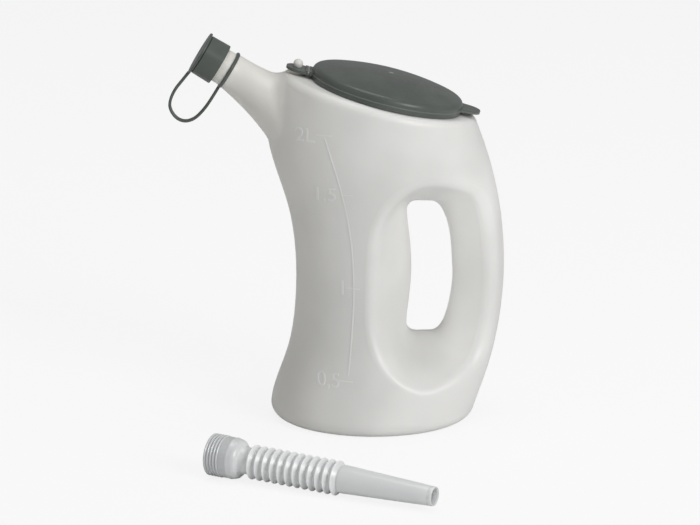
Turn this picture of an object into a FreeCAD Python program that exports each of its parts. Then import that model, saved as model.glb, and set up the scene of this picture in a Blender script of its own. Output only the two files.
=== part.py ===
# Two-litre oil jug with a pouring spout, a hinged lid, a tethered cap and a loose flexible spout.
# Millimetres.  Origin on the floor under the middle of the base, +Z up, the spout towards -X.

import FreeCAD, Part
import math
import os

import Sketcher
from FreeCAD import Placement, Rotation, Vector

doc = FreeCAD.newDocument("OilJug")


# ---------------------------------------------------------------- driving dimensions

dimensions = {
    # blown body: the side outline is a hollow arc in front and a full arc behind
    "front_radius": 220,
    "front_waist_x": -54.2,
    "front_waist_z": 99,
    "back_radius": 258,
    "back_reach_x": 87.9,
    "back_reach_z": 107,
    "base_front_x": -71,
    "base_back_x": 66,
    "base_half_depth": 67,
    "waist_half_depth": 52.5,
    "shoulder_half_depth": 57,
    "waist_share": 0.55,
    "breast_x": -74,
    "brow_x": -70,
    "base_round": 9,
    "shoulder_round": 6,
    "wall": 1.6,
    "push_up": 2.5,
    "push_up_radius": 50,
    # shoulder plane, which carries the filling mouth and the lid
    "mouth_x": 6.7,
    "mouth_z": 224.2,
    "lid_tilt": 14,
    "shoulder_front": 69.8,
    "shoulder_back": 62.3,
    "collar_radius": 48.3,
    "collar_rise": 3,
    # handle recess, pinched through the body
    "hole_x": 36.5,
    "hole_z": 105,
    "hole_half_width": 14,
    "hole_half_height": 46.5,
    "hole_bow": 6.9,
    "hole_bow_start": 0.29,
    "hole_squareness": 4.6,
    "flare_squareness": 2.4,
    "recess_flare_front": 27,
    "recess_flare_back": 85,
    "recess_flare_up": 26,
    "recess_flare_down": 29,
    "recess_depth": 55,
    "pinch_round": 16,
    "crease_round": 8,
    # pouring neck
    "ring_x": -98.2,
    "ring_z": 240.5,
    "spout_rise": 31.5,
    "neck_radius": 12,
    "ring_step": 0.6,
    "cap_seat": 0.1,
    "spout_blend": 14,
    # lid
    "lid_radius": 52.3,
    "lid_rise": 4.9,
    "lid_wall": 5.3,
    "lid_plate": 1.6,
    "lid_dome": 10.5,
    "lid_shoulder": 3.9,
    "lid_shoulder_run": 3,
    "skirt_wall": 1.6,
    "skirt_gap": 0.4,
    "plug_gap": 0.4,
    "plug_wall": 1.2,
    "plug_depth": 3,
    "tab_reach": 64.8,
    "tab_half_width": 12,
    "tab_tip_run": 8.3,
    "tab_tip_radius": 10,
    "tab_thick": 2,
    "tab_bite": 1.5,
    # living hinge and its anchor
    "hinge_reach": 54.6,
    "hinge_gap": 0.35,
    "hinge_rib": 1.5,
    "hinge_web": 0.5,
    "hinge_notch": 1.4,
    "hinge_half_width": 10,
    "anchor_thick": 1.8,
    "anchor_reach": 70,
    "anchor_radius": 10.5,
    "anchor_rest": 2.4,
    "boss_radius": 6,
    "stud_reach": 62.6,
    "stud_radius": 2.2,
    "stud_head": 3.3,
    "fit": 0.2,
    # cap, strap and neck ring
    "cap_length": 15.9,
    "cap_setback": 8.5,
    "cap_radius": 14.2,
    "cap_flange": 15.4,
    "cap_groove": 0.6,
    "cap_flare": 0.3,
    "flange_thick": 1.4,
    "cap_end": 2,
    "cap_gap": 0.4,
    "ring_radius": 13.6,
    "ring_thick": 2.2,
    "ring_gap": 0.25,
    "strap_thick": 2.2,
    "strap_width": 4,
    "strap_gap": 0.1,
    "strap_drop": 46.5,
    "strap_lean": 1.2,
    # flexible spout, one moulding
    "flex_length": 161,
    "socket_radius": 14.2,
    "socket_length": 22,
    "socket_taper": 1.6,
    "flex_wall": 1.2,
    "flex_neck_radius": 8.8,
    "flex_neck_length": 6.3,
    "ridge_radius": 11.4,
    "ridge_pitch": 5.5,
    "ridge_count": 12,
    "ridge_crest": 0.9,
    "nozzle_radius": 9.2,
    "nozzle_tip_radius": 6.4,
    "flex_mouth_x": -107,
    "flex_mouth_y": -140,
    "flex_turn": 27,
}

sheet = doc.addObject("Spreadsheet::Sheet", "Sizes")
for line, (word, number) in enumerate(dimensions.items(), start=1):
    sheet.set(f"A{line}", word)
    sheet.set(f"B{line}", str(number))
    sheet.setAlias(f"B{line}", word)
doc.recompute()


class Size:
    """A sheet value: its number, and the expression that ties an object to its cell."""

    def __init__(self, text, number):
        self.text = text
        self.number = number

    def __add__(self, other):
        return combine("+", self, other, self.number + number_of(other))

    def __sub__(self, other):
        return combine("-", self, other, self.number - number_of(other))

    def __mul__(self, other):
        return combine("*", self, other, self.number * number_of(other))

    def __truediv__(self, other):
        return combine("/", self, other, self.number / number_of(other))

    def __neg__(self):
        return Size(f"(0 - {self.text})", -self.number)

    def __float__(self):
        return float(self.number)


def number_of(value):
    return value.number if isinstance(value, Size) else value


def text_of(value):
    return value.text if isinstance(value, Size) else str(value)


def combine(sign, left, right, number):
    return Size(f"({text_of(left)} {sign} {text_of(right)})", number)


class Sheet:
    """The sheet's values by name, such as S.wall."""

    def __getattr__(self, word):
        return Size(f"Sizes.{word}", getattr(sheet, word))


S = Sheet()
nothing = Size("0", 0)


# ---------------------------------------------------------------- frames and helpers

def mouth_frame():
    """Frame of the tilted shoulder plane, its +Z out of the mouth and its +X towards the handle."""
    base = Vector(S.mouth_x.number, 0, S.mouth_z.number)
    return Placement(base, Rotation(Vector(0, 1, 0), S.lid_tilt.number))


def spout_frame():
    """Frame of the neck at its ring, its +Z out of the spout and its +X upwards."""
    base = Vector(S.ring_x.number, 0, S.ring_z.number)
    return Placement(base, Rotation(Vector(0, 1, 0), S.spout_rise.number - 90))


def new_body(name):
    body = doc.addObject("PartDesign::Body", name)
    body.Label = name
    return body


def seat_in_mouth_frame(body):
    body.Placement = mouth_frame()
    body.setExpression("Placement.Base.x", S.mouth_x.text)
    body.setExpression("Placement.Base.z", S.mouth_z.text)
    body.setExpression("Placement.Rotation.Angle", S.lid_tilt.text)


def seat_in_spout_frame(body):
    body.Placement = spout_frame()
    body.setExpression("Placement.Base.x", S.ring_x.text)
    body.setExpression("Placement.Base.z", S.ring_z.text)


def origin_plane(body, role):
    for feature in body.Origin.OriginFeatures:
        if feature.Role == role:
            return feature
    raise ValueError(role)


def new_sketch(body, name, role, height=nothing):
    sketch = body.newObject("Sketcher::SketchObject", name)
    sketch.AttachmentSupport = [(origin_plane(body, role), "")]
    sketch.MapMode = "FlatFace"
    if height is not nothing:
        sketch.AttachmentOffset = Placement(Vector(0, 0, height.number), Rotation())
        sketch.setExpression("AttachmentOffset.Base.z", height.text)
    return sketch


def pin_point(sketch, index, end, point):
    """Tie one end of a line to its two sizes, measured from the sketch's origin."""
    for kind, value in zip(("DistanceX", "DistanceY"), point):
        row = sketch.addConstraint(Sketcher.Constraint(kind, -1, 1, index, end, number_of(value)))
        if isinstance(value, Size):
            sketch.setExpression(f"Constraints[{row}]", value.text)


def arc_between(start, stop, radius):
    """The short arc from start to stop, run anticlockwise; a radius below zero bulges to the left."""
    way = stop - start
    left = Vector(-way.y, way.x, 0).normalize()
    toward_centre = math.copysign(math.sqrt(radius * radius - way.Length ** 2 / 4), radius)
    centre = (start + stop) * 0.5 + left * toward_centre
    first, last = (start, stop) if radius > 0 else (stop, start)
    angles = [math.atan2(spot.y - centre.y, spot.x - centre.x) for spot in (first, last)]
    return Part.ArcOfCircle(Part.Circle(centre, Vector(0, 0, 1), abs(radius)), *angles)


def draw_outline(sketch, points):
    """A closed outline of (x, y) points; a third value bends the way to the next point to a radius."""
    spots = [Vector(number_of(p[0]), number_of(p[1]), 0) for p in points]
    ends = []
    for i, point in enumerate(points):
        start, stop = spots[i], spots[(i + 1) % len(points)]
        if len(point) == 2:
            index = sketch.addGeometry(Part.LineSegment(start, stop), False)
            ends.append((index, 1, 2))
            continue
        index = sketch.addGeometry(arc_between(start, stop, number_of(point[2])), False)
        ends.append((index, 1, 2) if number_of(point[2]) > 0 else (index, 2, 1))
        row = sketch.addConstraint(Sketcher.Constraint("Radius", index, abs(number_of(point[2]))))
        if isinstance(point[2], Size):
            sketch.setExpression(f"Constraints[{row}]", f"abs({point[2].text})")
    for i, (index, first, last) in enumerate(ends):
        following = ends[(i + 1) % len(ends)]
        sketch.addConstraint(Sketcher.Constraint("Coincident", index, last, following[0], following[1]))
        pin_point(sketch, index, first, points[i])


def revolve(body, name, points, kind="PartDesign::Revolution"):
    """Turn an outline of (radius, height) points about the body's own Z axis."""
    sketch = new_sketch(body, name + "_profile", "XZ_Plane")
    draw_outline(sketch, points)
    feature = body.newObject(kind, name)
    feature.Profile = sketch
    feature.ReferenceAxis = (sketch, ["V_Axis"])
    feature.Angle = 360
    return feature


def pad(body, name, points, height, thickness):
    """Raise an outline, drawn at a height above the body's XY plane, by a thickness."""
    sketch = new_sketch(body, name + "_outline", "XY_Plane", height)
    draw_outline(sketch, points)
    feature = body.newObject("PartDesign::Pad", name)
    feature.Profile = sketch
    feature.Length = thickness.number
    feature.setExpression("Length", thickness.text)
    return feature


# ---------------------------------------------------------------- jug body, one blown shell

# heights of the lofted sections, as shares of the way from the base to the shoulder
section_shares = (0, 0.06, 0.19, 0.33, 0.48, 0.62, 0.75, 0.86, 0.94, 1)


def arc_x(reach, radius, middle, height):
    return reach - radius + math.sqrt(radius ** 2 - (height - middle) ** 2)


def front_x(height):
    return arc_x(float(S.front_waist_x), float(S.front_radius), float(S.front_waist_z), height)


def back_x(height):
    return arc_x(float(S.back_reach_x), float(S.back_radius), float(S.back_reach_z), height)


def half_depth(share):
    """Half the vessel's depth: a waist at one height, fuller at the base and at the shoulder."""
    waist_share = float(S.waist_share)
    if share < waist_share:
        end, way = float(S.base_half_depth), (waist_share - share) / waist_share
    else:
        end, way = float(S.shoulder_half_depth), (share - waist_share) / (1 - waist_share)
    waist = float(S.waist_half_depth)
    return waist + (end - waist) * way ** 2


def ellipse_wire(centre, along, across, along_radius, across_radius):
    """An ellipse whose long radius lies on the first direction."""
    curve = Part.Ellipse(centre + along * along_radius, centre + across * across_radius, centre)
    return Part.Wire([curve.toShape()])


def vessel_sections(inset):
    """Ellipses from the base to the shoulder, each spanning the side outline from front to back."""
    frame = mouth_frame()
    front_end = frame.multVec(Vector(-float(S.shoulder_front), 0, 0))
    back_end = frame.multVec(Vector(float(S.shoulder_back), 0, 0))
    own_front_x = {
        section_shares[0]: float(S.base_front_x),
        section_shares[-3]: float(S.breast_x),
        section_shares[-2]: float(S.brow_x),
        section_shares[-1]: front_end.x,
    }
    own_back_x = {section_shares[0]: float(S.base_back_x), section_shares[-1]: back_end.x}
    wires = []
    for share in section_shares:
        low, high = share * front_end.z, share * back_end.z
        front = Vector(own_front_x.get(share) or front_x(low), 0, low)
        back = Vector(own_back_x.get(share) or back_x(high), 0, high)
        span = back - front
        along = Vector(span).normalize()
        centre = (front + back) * 0.5
        wires.append(ellipse_wire(centre, along, Vector(0, 1, 0),
                                  span.Length / 2 - inset, half_depth(share) - inset))
    return wires


# the neck ends where the cap's disc seats on it
neck_length = S.cap_setback + S.cap_length - S.cap_end - S.cap_seat


def funnel_sections(inset):
    """Ellipses of the funnel behind the neck ring: distance back, low, high, half width."""
    neck = float(S.neck_radius)
    step = neck + float(S.ring_step)
    stations = (
        (0, step, step, step),
        (12, neck + 3, neck + 0.6, neck + 2.5),
        (24, neck + 6, neck + 1.5, neck + 8),
        (36, neck + 10, neck + 2.5, neck + 13),
        (50, neck + 16, neck + 2.5, neck + 18),
        (62, neck + 21, neck + 2, neck + 21),
    )
    frame = spout_frame()
    up = frame.Rotation.multVec(Vector(1, 0, 0))
    wires = []
    for back, low, high, width in stations:
        centre = frame.multVec(Vector((high - low) / 2, 0, -back))
        tall = (low + high) / 2 - inset
        wide = max(width - inset, tall * 1.001)
        wires.append(ellipse_wire(centre, Vector(0, 1, 0), up, wide, tall))
    return wires


def recess_outline(depth, grow):
    """The handle recess at one depth from the parting plane: a bowed, rounded slot that flares out."""
    pinch = float(S.pinch_round)
    full = math.hypot(float(S.recess_depth), pinch) - pinch
    share = (math.hypot(min(abs(depth), float(S.recess_depth) * 1.12), pinch) - pinch) / full
    left = float(S.hole_x) - float(S.hole_half_width) - share * float(S.recess_flare_front) - grow
    right = float(S.hole_x) + float(S.hole_half_width) + share * float(S.recess_flare_back) + grow
    low = float(S.hole_z) - float(S.hole_half_height) - share * float(S.recess_flare_down) - grow
    high = float(S.hole_z) + float(S.hole_half_height) + share * float(S.recess_flare_up) + grow
    bow = float(S.hole_bow) * (1 - 0.7 * share)
    squareness = float(S.hole_squareness) + min(share, 1) * float(S.flare_squareness - S.hole_squareness)
    power = 2 / squareness
    points = []
    steps = 24
    for step in range(steps):
        turn = 2 * math.pi * step / steps
        across = math.copysign(abs(math.cos(turn)) ** power, math.cos(turn))
        rise = math.copysign(abs(math.sin(turn)) ** power, math.sin(turn))
        x = (left + right) / 2 + across * (right - left) / 2 - bow * (rise ** 2 - float(S.hole_bow_start))
        z = (low + high) / 2 + rise * (high - low) / 2
        points.append(Vector(x, depth, z))
    curve = Part.BSplineCurve()
    curve.interpolate(Points=points, PeriodicFlag=True)
    return Part.Wire([curve.toShape()])


def recess_tool(grow):
    reach = float(S.base_half_depth) + 8
    depths = [-reach] + [step * 15 for step in range(-4, 5)] + [reach]
    return Part.makeLoft([recess_outline(depth, grow) for depth in depths], True, False)


def edges_on(shape, *supports):
    """The edges of a shape that lie on every one of the given faces or shells."""
    found = []
    for edge in shape.Edges:
        if edge.Degenerated or edge.Length < 1:
            continue
        first, last = edge.ParameterRange
        spots = [edge.valueAt(first + (last - first) * part) for part in (0.1, 0.37, 0.63, 0.9)]
        if all(Part.Vertex(spot).distToShape(support)[0] < 0.01 for spot in spots for support in supports):
            found.append(edge)
    return found


def half_space(frame, height, below):
    """A large block whose face is the frame's plane at a height, on its lower or upper side."""
    size = 600
    block = Part.makeBox(size, size, size, Vector(-size / 2, -size / 2, height - size if below else height))
    block.Placement = frame
    return block


def blown_form(inset):
    """The jug's closed outer form, or its cavity when drawn in by the wall."""
    vessel = Part.makeLoft(vessel_sections(inset), True, False)
    side = max(vessel.Faces, key=lambda face: face.Area)
    frame = mouth_frame()
    floor = 0
    if inset:
        floor = float(S.push_up) + inset
        vessel = vessel.cut(half_space(Placement(), floor, True)).cut(half_space(frame, -inset, False))
    shoulder = [edge for edge in vessel.Edges if edge.BoundBox.ZMin > float(S.back_reach_z) * 1.5]
    vessel = vessel.makeFillet(float(S.shoulder_round) - inset, shoulder)
    base = [edge for edge in vessel.Edges if edge.BoundBox.ZMax < floor + 1]
    vessel = vessel.makeFillet(float(S.base_round) - inset, base)

    funnel = Part.makeLoft(funnel_sections(inset), True, False)
    spout_side = max(funnel.Faces, key=lambda face: face.Area)
    form = vessel.fuse(funnel).removeSplitter()
    form = form.makeFillet(float(S.spout_blend) + inset, edges_on(form, side, spout_side))

    tool = recess_tool(inset)
    tool_side = max(tool.Faces, key=lambda face: face.Area)
    form = form.cut(tool)
    return form.makeFillet(float(S.crease_round) - inset, edges_on(form, side, tool_side))


def upright(frame, radius, low, high, x=0, y=0):
    """A cylinder along a frame's Z axis, between two heights."""
    rod = Part.makeCylinder(float(radius), float(high) - float(low), Vector(x, y, float(low)))
    rod.Placement = frame
    return rod


def jug_shell():
    wall = float(S.wall)
    shell = blown_form(0).cut(blown_form(wall))
    mouth, spout = mouth_frame(), spout_frame()
    collar = upright(mouth, S.collar_radius, -wall / 2, S.collar_rise)
    bore = upright(mouth, S.collar_radius - S.wall, -3 * wall, S.collar_rise + S.wall)
    neck = upright(spout, S.neck_radius, -wall, neck_length)
    neck_bore = upright(spout, S.neck_radius - S.wall, -2 * wall, neck_length + S.wall)
    push_up = Part.makeCone(float(S.push_up_radius), float(S.push_up_radius) - 2 * float(S.push_up),
                            float(S.push_up), Vector((S.base_front_x + S.base_back_x).number / 2, 0, 0))
    stud_x = -float(S.stud_reach)
    plate_top = S.anchor_rest + S.anchor_thick
    boss = upright(mouth, S.boss_radius, -2 * wall, S.anchor_rest, stud_x)
    pin = upright(mouth, S.stud_radius, 0, plate_top + S.stud_radius, stud_x)
    head_centre = float(plate_top) + float(S.fit) + float(S.stud_radius)
    head = Part.makeSphere(float(S.stud_head), Vector(stud_x, 0, head_centre))
    head.Placement = mouth
    head = head.cut(half_space(mouth, float(plate_top) + float(S.fit), True))
    return shell.fuse([neck, collar, boss, pin, head]).cut([bore, neck_bore, push_up]).removeSplitter()


jug_body = doc.addObject("Part::Feature", "jug_body")
jug_body.Label = "jug_body"
jug_body.Shape = jug_shell()


# ---------------------------------------------------------------- lid, with its finger tab and hinge rib

def arc_radius(reach, rise):
    """The radius of an arc that starts level and rises by an amount over a reach."""
    return (reach * reach + rise * rise) / (rise * 2)


def dome_fall(reach):
    """How far the dome's underside lies below its own middle at a distance from it."""
    return reach * reach / ((dome - S.lid_plate) * 2)


rim_top = S.lid_rise
dome_top = S.lid_wall + S.lid_dome
dome_under = dome_top - S.lid_plate
dome_reach = S.lid_radius - S.lid_shoulder_run
dome = arc_radius(dome_reach, S.lid_dome - S.lid_shoulder)
shoulder = arc_radius(S.lid_shoulder, S.lid_shoulder_run)
skirt_inner = S.lid_radius - S.skirt_wall
plug_radius = S.collar_radius - S.wall - S.plug_gap
plug_inner = plug_radius - S.plug_wall
plug_end = rim_top - S.lid_plate - S.plug_depth

lid = new_body("lid")
seat_in_mouth_frame(lid)
revolve(lid, "lid_disc", [
    (nothing, dome_top, -dome),
    (dome_reach, S.lid_wall + S.lid_shoulder, -shoulder),
    (S.lid_radius, S.lid_wall),
    (S.lid_radius, S.skirt_gap),
    (skirt_inner, S.skirt_gap),
    (skirt_inner, S.lid_wall, shoulder - S.lid_plate),
    (dome_reach, dome_under - dome_fall(dome_reach)),
    (plug_radius, dome_under - dome_fall(plug_radius)),
    (plug_radius, plug_end),
    (plug_inner, plug_end),
    (plug_inner, dome_under - dome_fall(plug_inner), arc_radius(plug_inner, dome_fall(plug_inner))),
    (nothing, dome_under),
])

tab_root = S.lid_radius - S.tab_bite
tab_shoulder = S.tab_reach - S.tab_tip_run
pad(lid, "finger_tab", [
    (tab_root, -S.tab_half_width),
    (tab_shoulder, -(S.tab_half_width - S.skirt_wall), S.tab_tip_radius),
    (S.tab_reach, nothing, S.tab_tip_radius),
    (tab_shoulder, S.tab_half_width - S.skirt_wall),
    (tab_root, S.tab_half_width),
], rim_top - S.tab_thick, S.tab_thick)

half_gap = S.hinge_gap / 2
rib_root = S.lid_radius - S.skirt_wall + S.hinge_gap
lid_rib_end = S.hinge_reach - S.hinge_notch / 2
hinge_low = S.anchor_rest
pad(lid, "lid_hinge_rib", [
    (-lid_rib_end, -S.hinge_half_width),
    (-rib_root, -S.hinge_half_width),
    (-rib_root, S.hinge_half_width),
    (-lid_rib_end, S.hinge_half_width),
], hinge_low, rim_top - hinge_low)
pad(lid, "lid_hinge_web", [
    (-(S.hinge_reach - half_gap), -S.hinge_half_width),
    (-rib_root, -S.hinge_half_width),
    (-rib_root, S.hinge_half_width),
    (-(S.hinge_reach - half_gap), S.hinge_half_width),
], rim_top - S.hinge_web, S.hinge_web)


# ---------------------------------------------------------------- lid anchor on the jug's stud

anchor_rib_end = S.hinge_reach + S.hinge_notch / 2
anchor_rib_start = anchor_rib_end + S.hinge_rib

lid_anchor = new_body("lid_anchor")
seat_in_mouth_frame(lid_anchor)
pad(lid_anchor, "anchor_plate", [
    (-anchor_rib_end, S.hinge_half_width, S.anchor_radius),
    (-S.anchor_reach, nothing, S.anchor_radius),
    (-anchor_rib_end, -S.hinge_half_width),
], S.anchor_rest, S.anchor_thick)
pad(lid_anchor, "anchor_rib", [
    (-anchor_rib_end, -S.hinge_half_width),
    (-anchor_rib_start, -S.hinge_half_width),
    (-anchor_rib_start, S.hinge_half_width),
    (-anchor_rib_end, S.hinge_half_width),
], S.anchor_rest, rim_top - S.anchor_rest)
pad(lid_anchor, "anchor_web", [
    (-(S.hinge_reach + half_gap), -S.hinge_half_width),
    (-anchor_rib_start, -S.hinge_half_width),
    (-anchor_rib_start, S.hinge_half_width),
    (-(S.hinge_reach + half_gap), S.hinge_half_width),
], rim_top - S.hinge_web, S.hinge_web)

stud_hole = new_sketch(lid_anchor, "stud_hole_outline", "XY_Plane", S.anchor_rest + S.anchor_thick)
stud_hole.addGeometry(Part.Circle(Vector(-S.stud_reach.number, 0, 0), Vector(0, 0, 1),
                                  (S.stud_radius + S.fit).number), False)
pin_point(stud_hole, 0, 3, (-S.stud_reach, nothing))
radius_row = stud_hole.addConstraint(Sketcher.Constraint("Radius", 0, (S.stud_radius + S.fit).number))
stud_hole.setExpression(f"Constraints[{radius_row}]", (S.stud_radius + S.fit).text)
doc.recompute()
plate_volume = lid_anchor.Shape.Volume
pocket = lid_anchor.newObject("PartDesign::Pocket", "stud_hole")
pocket.Profile = stud_hole
pocket.Type = 1


# ---------------------------------------------------------------- cap, neck ring and strap

cap_rim = S.cap_setback
cap_top = S.cap_setback + S.cap_length
cap_bore = S.neck_radius + S.cap_gap

spout_cap = new_body("spout_cap")
seat_in_spout_frame(spout_cap)
revolve(spout_cap, "cap_shell", [
    (nothing, cap_top),
    (S.cap_flange - S.cap_flare, cap_top),
    (S.cap_flange, cap_top - S.cap_flare),
    (S.cap_flange, cap_top - S.flange_thick),
    (S.cap_radius - S.cap_groove, cap_top - S.flange_thick - S.cap_flare),
    (S.cap_radius, cap_top - S.flange_thick - S.cap_groove - S.cap_flare),
    (S.cap_radius + S.cap_flare, cap_rim + S.cap_flare),
    (S.cap_radius, cap_rim),
    (cap_bore, cap_rim),
    (cap_bore, cap_top - S.cap_end),
    (nothing, cap_top - S.cap_end),
])

ring_low = S.fit
ring_high = S.fit + S.ring_thick
ring_bore = S.neck_radius + S.ring_gap
ring_edge = S.ring_thick / 4

neck_ring = new_body("neck_ring")
seat_in_spout_frame(neck_ring)
revolve(neck_ring, "ring", [
    (ring_bore, ring_low),
    (S.ring_radius - ring_edge, ring_low),
    (S.ring_radius, ring_low + ring_edge),
    (S.ring_radius, ring_high - ring_edge),
    (S.ring_radius - ring_edge, ring_high),
    (ring_bore, ring_high),
])


def strap_shape():
    """A flat strap that leaves the cap's flange, hangs in a loop and comes back to the ring."""
    thick = float(S.strap_thick)
    drop = float(S.strap_drop)
    lean = float(S.strap_lean)
    cap_height = float(cap_top - S.flange_thick / 2)
    ring_height = float(ring_low + S.ring_thick / 2)
    cap_side = float(S.cap_flange + S.strap_gap)
    ring_side = float(S.ring_radius + S.strap_gap)
    bend = (cap_height - ring_height) / 2
    middle = (cap_height + ring_height) / 2 + lean
    low = drop - bend
    spots = [(cap_side, cap_height), ((cap_side + low) / 2, cap_height + lean * 0.7)]
    for turn in (90, 45, 0, -45, -90):
        angle = math.radians(turn)
        spots.append((low + bend * math.cos(angle), middle + bend * math.sin(angle)))
    spots += [((ring_side + low) / 2, ring_height + lean * 0.7), (ring_side, ring_height)]
    curve = Part.BSplineCurve()
    curve.interpolate(Points=[Vector(-down, 0, height) for down, height in spots])
    path = Part.Wire([curve.toShape()])
    start, way = curve.value(curve.FirstParameter), curve.tangent(curve.FirstParameter)[0]
    half, side = thick / 2, float(S.strap_width) / 2
    across = way.cross(Vector(0, 1, 0))
    corners = [start + Vector(0, y, 0) + across * z
               for y, z in ((-side, -half), (side, -half), (side, half), (-side, half))]
    profile = Part.makePolygon(corners + corners[:1])
    pipe = Part.BRepOffsetAPI.MakePipeShell(path)
    pipe.setBiNormalMode(Vector(0, 1, 0))
    pipe.add(profile)
    pipe.build()
    pipe.makeSolid()
    return pipe.shape()


cap_strap = doc.addObject("Part::Feature", "cap_strap")
cap_strap.Label = "cap_strap"
cap_strap.Shape = strap_shape()
cap_strap.Placement = spout_frame()


# ---------------------------------------------------------------- flexible spout, lying loose in front

flex_neck_start = S.socket_length
bellows_start = S.socket_length + S.flex_neck_length
bellows_end = bellows_start + S.ridge_pitch * S.ridge_count
socket_end_radius = S.socket_radius - S.socket_taper
socket_shoulder = S.socket_length - S.socket_taper * 2

flexible_spout = new_body("flexible_spout")
revolve(flexible_spout, "tube", [
    (S.socket_radius - S.flex_wall, nothing),
    (S.socket_radius, nothing),
    (socket_end_radius, socket_shoulder, S.socket_taper * 2),
    (S.flex_neck_radius + S.flex_wall, flex_neck_start),
    (S.flex_neck_radius, flex_neck_start + S.flex_wall),
    (S.flex_neck_radius, bellows_end),
    (S.nozzle_radius, bellows_end + S.flex_wall),
    (S.nozzle_tip_radius, S.flex_length - S.flex_wall / 2),
    (S.nozzle_tip_radius - S.flex_wall / 2, S.flex_length),
    (S.nozzle_tip_radius - S.flex_wall, S.flex_length),
    (S.nozzle_radius - S.flex_wall, bellows_end + S.flex_wall),
    (S.flex_neck_radius - S.flex_wall, bellows_end),
    (S.flex_neck_radius - S.flex_wall, flex_neck_start),
    (socket_end_radius - S.flex_wall, socket_shoulder - S.flex_wall),
])


def ridge_outline(root, peak, start):
    """One ridge of the bellows: a steep rise, a narrow crest and a steep fall."""
    middle = start + S.ridge_pitch / 2
    return [
        (root, start + S.ridge_crest / 2),
        (peak, middle - S.ridge_crest / 2),
        (peak, middle + S.ridge_crest / 2),
        (root, start + S.ridge_pitch - S.ridge_crest / 2),
    ]


def repeat_along(body, name, feature):
    pattern = body.newObject("PartDesign::LinearPattern", name)
    pattern.Originals = [feature]
    pattern.Direction = (feature.Profile[0], ["V_Axis"])
    pattern.setExpression("Length", (S.ridge_pitch * (S.ridge_count - 1)).text)
    pattern.setExpression("Occurrences", S.ridge_count.text)
    body.Tip = pattern
    return pattern


ridge = revolve(flexible_spout, "ridge",
                ridge_outline(S.flex_neck_radius - S.flex_wall / 2, S.ridge_radius, bellows_start))
repeat_along(flexible_spout, "ridges", ridge)
doc.recompute()
ridged_volume = flexible_spout.Shape.Volume
fold = revolve(flexible_spout, "fold",
               ridge_outline(S.flex_neck_radius - S.flex_wall * 1.5, S.ridge_radius - S.flex_wall,
                             bellows_start), "PartDesign::Groove")
repeat_along(flexible_spout, "folds", fold)

# it rests on its socket's rim and on the crest of its last ridge
last_ridge = float(bellows_end - S.ridge_pitch / 2 + S.ridge_crest / 2)
dip = math.degrees(math.atan2(float(S.socket_radius - S.ridge_radius), last_ridge))
lying = Rotation(Vector(0, 0, 1), -float(S.flex_turn)).multiply(Rotation(Vector(0, 1, 0), 90 + dip))
height = float(S.socket_radius) * math.cos(math.radians(dip))
flexible_spout.Placement = Placement(Vector(float(S.flex_mouth_x), float(S.flex_mouth_y), height), lying)


# ---------------------------------------------------------------- checks and export

doc.recompute()
nodes = [jug_body, lid, lid_anchor, spout_cap, neck_ring, cap_strap, flexible_spout]
for item in doc.Objects:
    if "Invalid" in item.State or "Error" in item.State:
        raise RuntimeError(f"{item.Label} failed: {item.State}")
for node in nodes:
    if node.Shape.isNull() or not node.Shape.isValid() or len(node.Shape.Solids) != 1:
        raise RuntimeError(f"{node.Label} is not one valid solid")
if lid_anchor.Shape.Volume >= plate_volume or flexible_spout.Shape.Volume >= ridged_volume:
    raise RuntimeError("a hole or a fold cut nothing")

os.makedirs("parts", exist_ok=True)
for node in nodes:
    node.Shape.exportStep(f"parts/{node.Label}.step")
    print(f"{node.Label}: {node.Shape.Volume / 1000:.1f} cm3")
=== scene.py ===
import math
import bpy
from mathutils import Matrix, Vector


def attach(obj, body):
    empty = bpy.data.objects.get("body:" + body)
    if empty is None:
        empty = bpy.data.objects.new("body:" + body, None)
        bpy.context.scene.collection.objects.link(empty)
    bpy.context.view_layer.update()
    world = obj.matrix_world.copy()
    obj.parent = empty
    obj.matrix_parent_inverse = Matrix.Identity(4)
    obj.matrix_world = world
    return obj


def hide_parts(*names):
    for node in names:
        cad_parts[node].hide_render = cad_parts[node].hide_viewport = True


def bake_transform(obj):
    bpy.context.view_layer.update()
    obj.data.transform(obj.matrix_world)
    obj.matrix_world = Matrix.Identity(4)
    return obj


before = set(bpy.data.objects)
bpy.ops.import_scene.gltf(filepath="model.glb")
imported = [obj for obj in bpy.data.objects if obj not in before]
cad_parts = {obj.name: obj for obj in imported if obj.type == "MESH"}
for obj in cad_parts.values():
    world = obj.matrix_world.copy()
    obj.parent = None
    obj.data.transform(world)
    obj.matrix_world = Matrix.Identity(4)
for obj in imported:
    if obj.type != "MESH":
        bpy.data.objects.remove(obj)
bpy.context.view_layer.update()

mm = 0.001


def clearSelection():
    if bpy.context.object and bpy.context.object.mode != "OBJECT":
        bpy.ops.object.mode_set(mode="OBJECT")
    bpy.ops.object.select_all(action="DESELECT")


def pickOnly(piece):
    clearSelection()
    piece.select_set(True)
    bpy.context.view_layer.objects.active = piece


def editAll(piece):
    pickOnly(piece)
    bpy.ops.object.mode_set(mode="EDIT")
    bpy.ops.mesh.select_all(action="SELECT")


def leaveEdit():
    bpy.ops.object.mode_set(mode="OBJECT")


def nameNew(name):
    piece = bpy.context.object
    piece.name = name
    piece.data.name = name
    return piece


def finishModifier(piece, kind, **settings):
    pickOnly(piece)
    bpy.ops.object.modifier_add(type=kind)
    modifier = piece.modifiers[-1]
    for key, value in settings.items():
        setattr(modifier, key, value)
    bpy.ops.object.modifier_apply(modifier=modifier.name)


def settle(piece, placing=None):
    # leaves the object at the origin with its place in its mesh
    pickOnly(piece)
    if placing is not None:
        piece.matrix_world = placing @ piece.matrix_world
    bpy.ops.object.transform_apply(location=True, rotation=True, scale=True)


def smoothUnder(piece, degrees):
    pickOnly(piece)
    bpy.ops.object.shade_smooth_by_angle(angle=math.radians(degrees))


def dress(piece, finish):
    piece.data.materials.clear()
    piece.data.materials.append(finish)


print("stage: camera")

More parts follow.
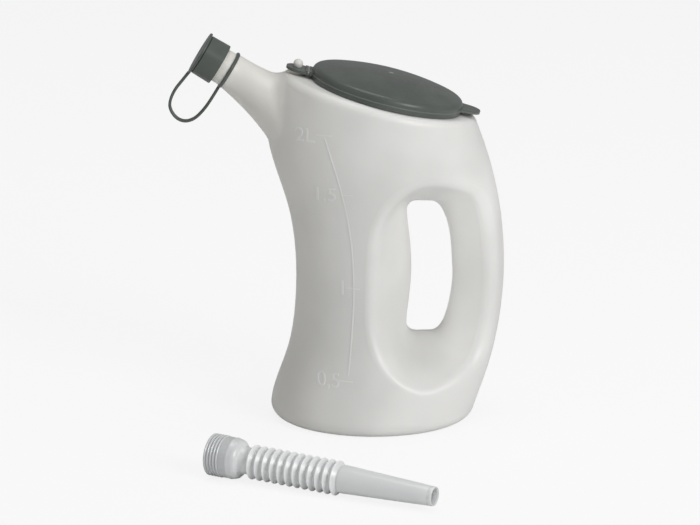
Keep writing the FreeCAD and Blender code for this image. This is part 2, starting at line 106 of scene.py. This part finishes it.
viewpoint = {"target": (-17.5, 0, 107), "distance": 2400, "elevation": 14.6, "lens": 180.2, "sensor": 36,
             "reach": 20}


def aimCamera():
    lift = math.radians(viewpoint["elevation"])
    outwards = Vector((0, -math.cos(lift), math.sin(lift)))
    stand = (Vector(viewpoint["target"]) + outwards * viewpoint["distance"]) * mm
    clearSelection()
    bpy.ops.object.camera_add(location=stand, rotation=(math.pi / 2 - lift, 0, 0))
    camera = nameNew("studioCamera")
    camera.data.lens = viewpoint["lens"]
    camera.data.sensor_width = viewpoint["sensor"]
    camera.data.clip_end = viewpoint["reach"]
    bpy.context.scene.camera = camera


aimCamera()


print("stage: finishes")


class Wire:
    def __init__(self, tree, socket):
        self.tree = tree
        self.socket = socket

    def plugInto(self, target):
        self.tree.links.new(self.socket, target)

    def maths(self, operation, *others, first=None):
        # first is a value that comes before this wire
        node = self.tree.nodes.new("ShaderNodeMath")
        node.operation = operation
        values = (self, *others) if first is None else (first, self)
        for target, value in zip(node.inputs, values):
            feed(target, value)
        return Wire(self.tree, node.outputs[0])

    def __add__(self, other):
        return self.maths("ADD", other)

    def __radd__(self, other):
        return self.maths("ADD", first=other)

    def __sub__(self, other):
        return self.maths("SUBTRACT", other)

    def __rsub__(self, other):
        return self.maths("SUBTRACT", first=other)

    def __mul__(self, other):
        return self.maths("MULTIPLY", other)

    def __rmul__(self, other):
        return self.maths("MULTIPLY", first=other)

    def __truediv__(self, other):
        return self.maths("DIVIDE", other)

    def __abs__(self):
        return self.maths("ABSOLUTE")


def feed(target, value):
    if isinstance(value, Wire):
        value.plugInto(target)
    elif target.type == "RGBA":
        target.default_value = (*value, 1)
    else:
        target.default_value = value


class Nodes:
    def __init__(self, tree):
        self.tree = tree

    def node(self, kind, settings=None, sockets=(), output=0):
        # sockets are in the node's own order, or by name or number
        made = self.tree.nodes.new(kind)
        for key, value in (settings or {}).items():
            setattr(made, key, value)
        for key, value in sockets.items() if isinstance(sockets, dict) else enumerate(sockets):
            feed(made.inputs[key], value)
        return Wire(self.tree, made.outputs[output])


class Finish(Nodes):
    def __init__(self, name, **constants):
        self.material = bpy.data.materials.new(name)
        self.material.use_nodes = True
        super().__init__(self.material.node_tree)
        self.shader = self.tree.nodes["Principled BSDF"]
        self.set(**constants)
        self.spot = self.node("ShaderNodeTexCoord", output="Object")
        apart = self.node("ShaderNodeSeparateXYZ", sockets=[self.spot]).socket.node
        self.x, self.y, self.z = (Wire(self.tree, socket) for socket in apart.outputs)

    def set(self, **values):
        for key, value in values.items():
            feed(self.shader.inputs[key.replace("_", " ")], value)

    def vectorMaths(self, operation, *sockets, output="Vector"):
        return self.node("ShaderNodeVectorMath", {"operation": operation}, sockets, output)

    def roundAxis(self, origin, axis):
        # how far along an axis, and how far from it
        offset = self.vectorMaths("SUBTRACT", self.spot, origin)
        along = self.vectorMaths("DOT_PRODUCT", offset, axis, output="Value")
        away = self.vectorMaths("LENGTH", self.vectorMaths("CROSS_PRODUCT", offset, axis), output="Value")
        return along, away

    def noise(self, scale, detail=2.0):
        sockets = {"Vector": self.spot, "Scale": scale, "Detail": detail}
        return self.node("ShaderNodeTexNoise", None, sockets, "Fac")

    def ramp(self, value, low, high, toLow=0.0, toHigh=1.0):
        sockets = {"Value": value, "From Min": low, "From Max": high, "To Min": toLow, "To Max": toHigh}
        return self.node("ShaderNodeMapRange", {"interpolation_type": "SMOOTHSTEP"}, sockets, "Result")

    def cloud(self, scale, detail, low, high):
        # soft patches, from 0 where the noise is low to 1 where it is high
        return self.ramp(self.noise(scale, detail), low, high)

    def rise(self, value, low, high):
        # from 0 to 1 between two places in millimetres
        return self.ramp(value, low * mm, high * mm)

    def window(self, value, up, down):
        # rises over one stretch and falls again over another, in millimetres
        return self.rise(value, *up) * self.ramp(value, down[0] * mm, down[1] * mm, 1.0, 0.0)

    def line(self, distance, inner, outer, height=1.0):
        # full height within the inner distance, and gone at the outer one
        return self.ramp(abs(distance), inner * mm, outer * mm, height, 0.0)

    def blendColours(self, factor, first, second):
        # sockets 6 and 7 are the two colours, and output 2 is their blend
        return self.node("ShaderNodeMix", {"data_type": "RGBA"}, {0: factor, 6: first, 7: second}, 2)

    def roughen(self, level, scale, detail, spread):
        self.set(Roughness=level + (self.noise(scale, detail) - 0.5) * spread)

    def grain(self, *layers):
        # each layer is a scale, a detail and a height in millimetres
        (scale, detail, height), *rest = layers
        relief = self.noise(scale, detail) * (height * mm)
        for scale, detail, height in rest:
            relief = relief + self.noise(scale, detail) * (height * mm)
        return relief

    def emboss(self, height):
        sockets = {"Strength": 1.0, "Distance": 1.0, "Height": height}
        self.set(Normal=self.node("ShaderNodeBump", None, sockets, "Normal"))


# a cloud is a noise's scale and detail, and where it starts and ends; a sheen is a level of roughness,
# a noise's scale and detail, and the spread it gives; grain and waves are scale, detail and height
milky = {
    "light": (0.81, 0.807, 0.788),
    "shade": (0.745, 0.743, 0.724),
    "cloud": (16, 2.0, 0.35, 0.65),
    # painted shade: the darker, warmer colour laid on the front side
    "paintedShadeWarm": (0.74, 0.725, 0.67),
    "paintedShadeSide": (-85, -10, 0.8),  # the tint fades from one x to the other, from this strength
    "sheen": (0.40, 60, 3.0, 0.16),
    "grain": (1400, 2.0, 0.006),
    "waves": (24, 1.0, 0.5),
    "subsurface": (0.006, 0.0055, 0.005),
    # painted glow: the colour of the light the handle gives off
    "glow": (0.13, 0.13, 0.128),
    "paintedGlowAcross": ((38, 58), (68, 86)),
    "paintedGlowUpwards": ((35, 65), (150, 185)),
    "parting": (0.25, 0.7, 0.22),  # inner and outer half width, and height
    "rootValley": {"x": -63.2, "reach": 16, "soft": 2.4, "fill": 2.2, "from": 198, "to": 226, "side": 22},
}
milkyRaised = {"tint": (0.81, 0.81, 0.795), "noise": 120, "sheen": (0.40, 300, 2.0, 0.1)}


def rootFill(finish):
    # softens the valley where the spout's root runs into the sides
    valley = milky["rootValley"]
    offset = finish.x - valley["x"] * mm
    share = (offset * offset + (valley["soft"] * mm) ** 2).maths("SQRT") / (valley["reach"] * mm)
    hat = 1 - share.maths("MINIMUM", 1.0)
    upwards = finish.rise(finish.z, valley["from"], valley["to"])
    where = upwards * finish.rise(abs(finish.y), 0, valley["side"])
    return hat * hat * where * (valley["fill"] * mm)


def milkyPlastic(name):
    finish = Finish(name, Subsurface_Weight=0.2, Subsurface_Radius=milky["subsurface"], IOR=1.5)
    colour = finish.blendColours(finish.cloud(*milky["cloud"]), milky["shade"], milky["light"])
    # painted shade: the full front side is blended to a darker, warmer colour than the thin handle
    near, far, strength = milky["paintedShadeSide"]
    paintedShade = finish.ramp(finish.x, near * mm, far * mm, strength, 0.0)
    finish.set(Base_Color=finish.blendColours(paintedShade, colour, milky["paintedShadeWarm"]))
    finish.roughen(*milky["sheen"])
    inner, outer, height = milky["parting"]
    partingLine = finish.line(finish.y, inner, outer, height * mm)
    finish.emboss(finish.grain(milky["waves"], milky["grain"]) + partingLine + rootFill(finish))
    # painted glow: the thin, hollow handle gives off a little light of its own, standing in for light
    # gathered through its walls
    paintedGlowShare = finish.window(finish.x, *milky["paintedGlowAcross"]) * finish.window(finish.z, *milky["paintedGlowUpwards"])
    sockets = {"Vector": milky["glow"], "Scale": paintedGlowShare}
    glow = finish.node("ShaderNodeVectorMath", {"operation": "SCALE"}, sockets)
    finish.set(Emission_Color=glow, Emission_Strength=1.0)
    return finish.material


def milkyRelief(name):
    finish = Finish(name, IOR=1.5)
    patches = finish.noise(milkyRaised["noise"])
    finish.set(Base_Color=finish.blendColours(patches, milky["light"], milkyRaised["tint"]))
    finish.roughen(*milkyRaised["sheen"])
    finish.emboss(finish.grain(milky["grain"]))
    return finish.material


dark = {
    "light": (0.100, 0.114, 0.103),
    "shade": (0.082, 0.094, 0.085),
    "cloud": (45, 3.0, 0.3, 0.7),
    "sheen": (0.34, 220, 2.0, 0.14),
    "grain": (2600, 2.0, 0.004),
    "waves": (70, 1.0, 0.05),
}
# the middle is where the lid's axis meets the plane of the jug's mouth, and heights are above that plane
lidSeat = {"middle": (6.7, 0, 224.2), "tilt": 14, "lip": 3.7, "crown": (14.6, 15.0)}
# painted highlight: a lighter colour in a thin band along the lid's lip
lipPaintedHighlight = {"colour": (0.15, 0.165, 0.15), "band": (0.2, 0.65), "outside": (47, 48)}
gateMark = {"colour": (0.30, 0.32, 0.30), "spot": (1.5, 2.4), "pit": (0.8, 1.4, -0.35),
            "ring": (0.1, 0.8, 0.25), "ringRadius": 2.0}


def darkPlastic(name):
    finish = Finish(name, IOR=1.5, Specular_IOR_Level=0.4)
    finish.roughen(*dark["sheen"])
    colour = finish.blendColours(finish.cloud(*dark["cloud"]), dark["shade"], dark["light"])
    return finish, colour, finish.grain(dark["grain"], dark["waves"])


def darkMoulding(name):
    finish, colour, relief = darkPlastic(name)
    finish.set(Base_Color=colour)
    finish.emboss(relief)
    return finish.material


def darkLid(name):
    # the lip at the foot of the dome has a painted highlight, a lighter colour in a thin band, and the gate
    # has left a mark in its middle
    finish, colour, relief = darkPlastic(name)
    tilt = math.radians(lidSeat["tilt"])
    height, away = finish.roundAxis(Vector(lidSeat["middle"]) * mm, (math.sin(tilt), 0, math.cos(tilt)))
    # painted highlight along the lip
    lip = finish.line(height - lidSeat["lip"] * mm, *lipPaintedHighlight["band"]) * finish.rise(away, *lipPaintedHighlight["outside"])
    colour = finish.blendColours(lip, colour, lipPaintedHighlight["colour"])
    crown = finish.rise(height, *lidSeat["crown"])
    spot = finish.line(away, *gateMark["spot"]) * crown
    finish.set(Base_Color=finish.blendColours(spot, colour, gateMark["colour"]))
    inner, outer, step = gateMark["pit"]
    pit = finish.line(away, inner, outer, step * mm)
    inner, outer, step = gateMark["ring"]
    ring = finish.line(away - gateMark["ringRadius"] * mm, inner, outer, step * mm)
    finish.emboss(relief + (pit + ring) * crown)
    return finish.material


frosted = {
    # the first colour serves the random patches and the painted highlight on the ridges' crests
    "crest": (0.95, 0.96, 0.955),
    "root": (0.84, 0.85, 0.855),
    "socket": (0.72, 0.74, 0.745),
    # painted shade in the thread's grooves
    "paintedThreadShade": (0.42, 0.44, 0.445),
    "patches": (60, 0.2),  # a noise's scale, and its share
    "sheen": (0.32, 160, 2.0, 0.12),
    "grain": (1800, 2.0, 0.003),
    "waves": (90, 1.0, 0.12),
    "crestsFrom": (10.3, 11.3),  # distance from the axis
    "threadEnd": (9.0, 11.5),  # distances along it
    "socketEnd": (20.5, 24.0),
}

tube = {
    "mouth": (-107, -140, 14.2),
    "turn": 27.0,
    "dip": 1.74,
    "wall": 1.1,
    "segments": 96,
    "smoothUnder": 30,
    "length": 161,
    # radius and height of the skin, part by part
    "lipOfMouth": ((13.5, 0.02), (13.85, 0.25), (13.9, 0.8)),
    "threadStart": 1.4,
    "threadPitch": 2.2,
    "threadTurns": 4,
    "threadTurn": ((13.3, 0.0), (13.3, 0.3), (13.8, 0.9), (13.88, 1.2), (13.8, 1.5), (13.3, 2.0)),
    "socket": ((13.5, 10.6), (13.4, 15.2), (13.66, 15.9), (13.66, 16.5), (13.4, 17.0), (13.1, 19.0),
               (12.6, 20.5), (11.5, 21.7), (10.2, 22.4), (9.3, 23.1), (8.9, 24.2), (8.8, 26.8)),
    "bellowsStart": 28.3,
    "ridgePitch": 5.5,
    "ridges": 12,
    "ridge": ((8.8, 0.0), (9.0, 0.35), (11.15, 2.45), (11.4, 2.65), (11.4, 2.85), (11.15, 3.05),
              (9.0, 5.15)),
    "nozzleFoot": ((8.8, 0.0), (9.15, 0.8), (9.25, 1.8)),
    "nozzleSteps": 8,
    "nozzleEnd": (6.5, -4.2),  # from here on, heights are from the tip
    "tip": ((6.45, -3.8), (6.3, -3.3), (6.45, -2.8), (6.4, -0.8), (6.18, -0.21), (5.9, -0.05)),
}
tubeMouth = Vector(tube["mouth"]) * mm
tubePlace = (Matrix.Translation(tubeMouth) @ Matrix.Rotation(-math.radians(tube["turn"]), 4, "Z")
             @ Matrix.Rotation(math.radians(90 + tube["dip"]), 4, "Y"))


def frostedPlastic(name, origin, axis):
    # darker on the socket, with painted shade in bands at the thread's pitch, and a painted highlight that
    # whitens the bellows towards the ridges' crests
    finish = Finish(name, IOR=1.5, Transmission_Weight=0.12, Coat_Weight=0.15)
    along, away = finish.roundAxis(origin, axis)
    halfPitch = tube["threadPitch"] / 2 * mm
    # painted shade: dark and light bands at the thread's pitch
    band = along.maths("PINGPONG", halfPitch) / halfPitch
    paintedThreadShade = finish.blendColours(band, frosted["paintedThreadShade"], frosted["socket"])
    socket = finish.blendColours(finish.rise(along, *frosted["threadEnd"]), paintedThreadShade, frosted["socket"])
    # painted highlight: whiter towards the ridges' crests
    crests = finish.rise(away, *frosted["crestsFrom"])
    bellowsWithHighlight = finish.blendColours(crests, frosted["root"], frosted["crest"])
    colour = finish.blendColours(finish.rise(along, *frosted["socketEnd"]), socket, bellowsWithHighlight)
    scale, share = frosted["patches"]
    finish.set(Base_Color=finish.blendColours(finish.noise(scale) * share, colour, frosted["crest"]))
    finish.roughen(*frosted["sheen"])
    finish.emboss(finish.grain(frosted["waves"], frosted["grain"]))
    return finish.material


bodyFinish = milkyPlastic("milkyPlastic")
scaleFinish = milkyRelief("milkyPlasticRelief")
lidFinish = darkLid("darkLidMoulding")
darkFinish = darkMoulding("darkMoulding")
spoutFinish = frostedPlastic("frostedPlastic", tubeMouth, tubePlace.to_3x3() @ Vector((0, 0, 1)))

nodeFinishes = {"jug_body": bodyFinish, "lid": lidFinish, "lid_anchor": darkFinish, "spout_cap": darkFinish,
                "neck_ring": darkFinish, "cap_strap": darkFinish, "flexible_spout": spoutFinish}
for nodeName, nodeFinish in nodeFinishes.items():
    dress(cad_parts[nodeName], nodeFinish)


print("stage: measuring scale")

# on the jug's near side: x and z of the raised line's points, left, right and height of each tick,
# and what each numeral says, its left and its foot
scale = {
    "line": ((-34.8, 205.7), (-26.8, 180.7), (-22.5, 165.5), (-18.2, 144.6),
             (-15.7, 123.8), (-14.9, 101.0), (-15.3, 77.7), (-18.7, 42.0)),
    "ticks": ((-40.1, -29.5, 206.6), (-22.8, -16.0, 166.0), (-19.8, -10.8, 101.0), (-27.0, -15.6, 38.2)),
    "numerals": (("2L", -54.6, 201.0), ("1,5", -42.8, 161.0), ("1", -26.0, 96.5), ("0,5", -40.5, 33.5)),
    "numeralHeight": 9.5,
    "capitalShare": 0.7,  # how much of the font's size a figure's height takes
    "width": 0.8,
    "relief": 0.3,
    "sunk": 0.05,
    "start": -120,
    "lineOrder": 4,
    "lineSteps": 8,
    "tickSteps": (10, 2),
    "weld": 0.01,
}
facingNear = (math.pi / 2, 0, 0)


def layOnJug(piece):
    # throws the flat relief on the jug's side and gives it its height
    finishModifier(piece, "SHRINKWRAP", target=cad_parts["jug_body"], wrap_method="PROJECT",
                   wrap_mode="ABOVE_SURFACE", use_project_x=False, use_project_y=True, use_project_z=False,
                   use_positive_direction=True, use_negative_direction=False, offset=-scale["sunk"] * mm)
    editAll(piece)
    bpy.ops.mesh.select_all(action="DESELECT")
    leaveEdit()
    for face in piece.data.polygons:
        face.select = face.normal.y > 0
    bpy.ops.object.mode_set(mode="EDIT")
    bpy.ops.mesh.flip_normals()
    leaveEdit()
    finishModifier(piece, "SOLIDIFY", thickness=scale["relief"] * mm, offset=1.0, use_even_offset=True)
    editAll(piece)
    bpy.ops.mesh.normals_make_consistent(inside=False)
    leaveEdit()
    dress(piece, scaleFinish)
    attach(piece, "jug")


def joinAll(pieces, name):
    clearSelection()
    for piece in pieces:
        piece.select_set(True)
    bpy.context.view_layer.objects.active = pieces[0]
    bpy.ops.object.join()
    return nameNew(name)


def drawPath(points, order, steps):
    # gives the new curve these points, all of one weight
    spline = bpy.context.object.data.splines[0]
    spline.points.add(len(points) - len(spline.points))
    for point, place in zip(spline.points, points):
        point.co = (*place, 1)
    spline.order_u = order
    spline.use_endpoint_u = True
    spline.resolution_u = steps


def scaleLine():
    half = scale["width"] / 2 * mm
    clearSelection()
    bpy.ops.curve.primitive_nurbs_path_add(location=(0, 0, 0))
    drawPath([(x * mm - half, scale["start"] * mm, z * mm) for x, z in scale["line"]],
             scale["lineOrder"], scale["lineSteps"])
    bpy.ops.object.convert(target="MESH")
    bpy.ops.object.mode_set(mode="EDIT")
    bpy.ops.mesh.select_all(action="SELECT")
    for side in range(2):
        bpy.ops.mesh.extrude_edges_move(TRANSFORM_OT_translate={"value": (half, 0, 0)})
    leaveEdit()
    return bpy.context.object


def tick(left, right, height):
    along, across = scale["tickSteps"]
    clearSelection()
    bpy.ops.mesh.primitive_grid_add(x_subdivisions=along, y_subdivisions=across, size=1, rotation=facingNear,
                                    location=((left + right) / 2 * mm, scale["start"] * mm, height * mm))
    made = bpy.context.object
    made.scale = ((right - left) * mm, scale["width"] * mm, 1)
    settle(made)
    return made


def numeral(words, left, foot):
    clearSelection()
    bpy.ops.object.text_add(location=(left * mm, scale["start"] * mm, foot * mm), rotation=facingNear)
    made = bpy.context.object
    made.data.body = words
    made.data.size = scale["numeralHeight"] / scale["capitalShare"] * mm
    bpy.ops.object.convert(target="MESH")
    settle(made)
    # a cut every millimetre lets the figure follow the jug's curve
    low, high = made.bound_box[0], made.bound_box[6]
    editAll(made)
    for cut in range(int(low[0] / mm) - 1, int(high[0] / mm) + 2):
        bpy.ops.mesh.select_all(action="SELECT")
        bpy.ops.mesh.bisect(plane_co=(cut * mm, 0, 0), plane_no=(1, 0, 0))
    bpy.ops.mesh.select_all(action="SELECT")
    bpy.ops.mesh.remove_doubles(threshold=scale["weld"] * mm)
    leaveEdit()
    return made


def measuringScale():
    layOnJug(joinAll([scaleLine()] + [tick(*ends) for ends in scale["ticks"]], "scale_lines"))
    layOnJug(joinAll([numeral(*words) for words in scale["numerals"]], "scale_numerals"))


measuringScale()


print("stage: lid lip")

lidLip = {"radius": 52.1, "round": 0.5, "flatten": 0.8, "around": 160, "across": 10}


def lipOfLid():
    height = lidSeat["lip"] * mm
    clearSelection()
    bpy.ops.mesh.primitive_torus_add(location=(0, 0, height), major_radius=lidLip["radius"] * mm,
                                     minor_radius=lidLip["round"] * mm, major_segments=lidLip["around"],
                                     minor_segments=lidLip["across"])
    made = nameNew("lid_lip")
    editAll(made)
    bpy.ops.transform.resize(value=(1, 1, lidLip["flatten"]), center_override=(0, 0, height))
    leaveEdit()
    bpy.ops.object.shade_smooth()
    settle(made, Matrix.Translation(Vector(lidSeat["middle"]) * mm)
           @ Matrix.Rotation(math.radians(lidSeat["tilt"]), 4, "Y"))
    dress(made, lidFinish)
    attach(made, "lid")


lipOfLid()


print("stage: cap strap")

# the strap's line in the spout's own frame: how far down from the axis, and how far out along it
strap = {
    "ring": (-98.2, 0, 240.5),
    "rise": 31.5,
    "path": ((15.3, 23.7), (22.5, 24.6), (30.5, 25.7), (38.5, 24.7), (43.58, 21.88), (47.0, 15.0),
             (46.0, 8.4), (40.8, 3.8), (32.5, 1.8), (23.0, 1.2), (13.6, 1.3)),
    "width": 4.0,
    "thick": 2.0,
    "order": 3,
    "steps": 10,
    "edgeSteps": 3,
    "smoothUnder": 50,
}


def spoutSpot(down, out):
    rise = math.radians(strap["rise"])
    axis = Vector((-math.cos(rise), 0, math.sin(rise)))
    across = Vector((-math.sin(rise), 0, -math.cos(rise)))
    return (Vector(strap["ring"]) + across * down + axis * out) * mm


def capStrap():
    clearSelection()
    bpy.ops.curve.primitive_nurbs_path_add(location=(0, 0, 0), rotation=facingNear)
    curve = bpy.context.object.data
    curve.dimensions = "2D"
    spots = [spoutSpot(down, out) for down, out in strap["path"]]
    drawPath([(spot.x, spot.z, 0) for spot in spots], strap["order"], strap["steps"])
    curve.fill_mode = "NONE"
    curve.extrude = (strap["width"] - strap["thick"]) / 2 * mm
    curve.bevel_depth = strap["thick"] / 2 * mm
    curve.bevel_resolution = strap["edgeSteps"]
    curve.use_fill_caps = True
    bpy.ops.object.convert(target="MESH")
    made = nameNew("cap_strap_loop")
    settle(made)
    smoothUnder(made, strap["smoothUnder"])
    dress(made, darkFinish)
    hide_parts("cap_strap")
    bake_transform(made)


capStrap()


print("stage: flexible spout")


def raised(part, foot):
    return [(radius, foot + height) for radius, height in part]


def tubeOutline():
    # radius and height of the outer skin, from the socket's mouth to the nozzle's tip
    outline = list(tube["lipOfMouth"])
    for turn in range(tube["threadTurns"]):
        outline += raised(tube["threadTurn"], tube["threadStart"] + turn * tube["threadPitch"])
    outline += tube["socket"]
    for ridge in range(tube["ridges"]):
        outline += raised(tube["ridge"], tube["bellowsStart"] + ridge * tube["ridgePitch"])
    outline += raised(tube["nozzleFoot"], tube["bellowsStart"] + tube["ridges"] * tube["ridgePitch"])
    firstRadius, firstHeight = outline[-1]
    lastRadius, lastHeight = raised([tube["nozzleEnd"]], tube["length"])[0]
    for step in range(1, tube["nozzleSteps"]):
        share = step / tube["nozzleSteps"]
        outline.append((firstRadius + (lastRadius - firstRadius) * share,
                        firstHeight + (lastHeight - firstHeight) * share))
    return outline + raised(tube["tip"], tube["length"])


def flexibleSpout():
    outline = tubeOutline()
    clearSelection()
    bpy.ops.mesh.primitive_circle_add(vertices=tube["segments"], radius=outline[0][0] * mm,
                                      location=(0, 0, 0), fill_type="NOTHING")
    made = nameNew("flexible_spout_tube")
    editAll(made)
    for (radius, height), (nextRadius, nextHeight) in zip(outline, outline[1:]):
        bpy.ops.mesh.extrude_edges_move(TRANSFORM_OT_translate={"value": (0, 0, (nextHeight - height) * mm)})
        share = nextRadius / radius
        bpy.ops.transform.resize(value=(share, share, 1), center_override=(0, 0, nextHeight * mm))
    bpy.ops.mesh.select_all(action="SELECT")
    bpy.ops.mesh.normals_make_consistent(inside=False)
    leaveEdit()
    finishModifier(made, "SOLIDIFY", thickness=tube["wall"] * mm, offset=-1.0, use_even_offset=False)
    smoothUnder(made, tube["smoothUnder"])
    settle(made, tubePlace)
    dress(made, spoutFinish)
    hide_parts("flexible_spout")
    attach(made, "jug")


flexibleSpout()


print("stage: studio")

studio = {
    "white": (1, 1, 1),
    "floorSize": 12,
    "floorColour": (0.86, 0.86, 0.86),
    "floorRoughness": 0.9,
    "floorGlow": 0.84,
    "world": 0.30,
    "aim": (0, 0, 0.11),
    "lamps": (
        {"name": "keyLamp", "place": (1.9, -2.1, 1.3), "size": 1.4, "power": 44},
        {"name": "fillLamp", "place": (-1.8, -1.6, 1.0), "size": 1.6, "power": 2},
        {"name": "topLamp", "place": (0.0, 0.1, 2.3), "size": 1.4, "power": 14},
    ),
}


def studioFloor():
    clearSelection()
    bpy.ops.mesh.primitive_plane_add(size=studio["floorSize"], location=(0, 0, 0))
    floor = nameNew("studioFloor")
    settle(floor)
    finish = Finish("paleFloor", Base_Color=studio["floorColour"], Roughness=studio["floorRoughness"])
    # the camera sees the floor nearly white, while the part is lit by the plain floor
    glow = finish.node("ShaderNodeEmission", None, {"Color": studio["white"], "Strength": 1.0}, "Emission")
    seen = finish.node("ShaderNodeLightPath", output="Is Camera Ray")
    plain = Wire(finish.tree, finish.shader.outputs[0])
    mixed = finish.node("ShaderNodeMixShader", None, (seen * studio["floorGlow"], plain, glow))
    mixed.plugInto(finish.tree.nodes["Material Output"].inputs["Surface"])
    dress(floor, finish.material)


def studioWorld():
    # white where the camera sees it, and softer as light on the part
    world = bpy.data.worlds.new("studioWorld")
    bpy.context.scene.world = world
    world.use_nodes = True
    nodes = Nodes(world.node_tree)
    background = world.node_tree.nodes["Background"]
    straight = nodes.node("ShaderNodeLightPath", output="Is Camera Ray")
    through = Wire(nodes.tree, straight.socket.node.outputs["Is Transmission Ray"])
    seen = straight.maths("MAXIMUM", through)
    feed(background.inputs["Strength"], studio["world"] + seen * (1 - studio["world"]))
    feed(background.inputs["Color"], studio["white"])


def studioLamps():
    for lamp in studio["lamps"]:
        clearSelection()
        place = Vector(lamp["place"])
        towards = (Vector(studio["aim"]) - place).to_track_quat("-Z", "Y").to_euler()
        bpy.ops.object.light_add(type="AREA", location=place, rotation=towards)
        made = nameNew(lamp["name"])
        made.data.shape = "DISK"
        made.data.size = lamp["size"]
        made.data.energy = lamp["power"]


studioFloor()
studioWorld()
studioLamps()
bpy.context.scene.view_settings.view_transform = "Standard"
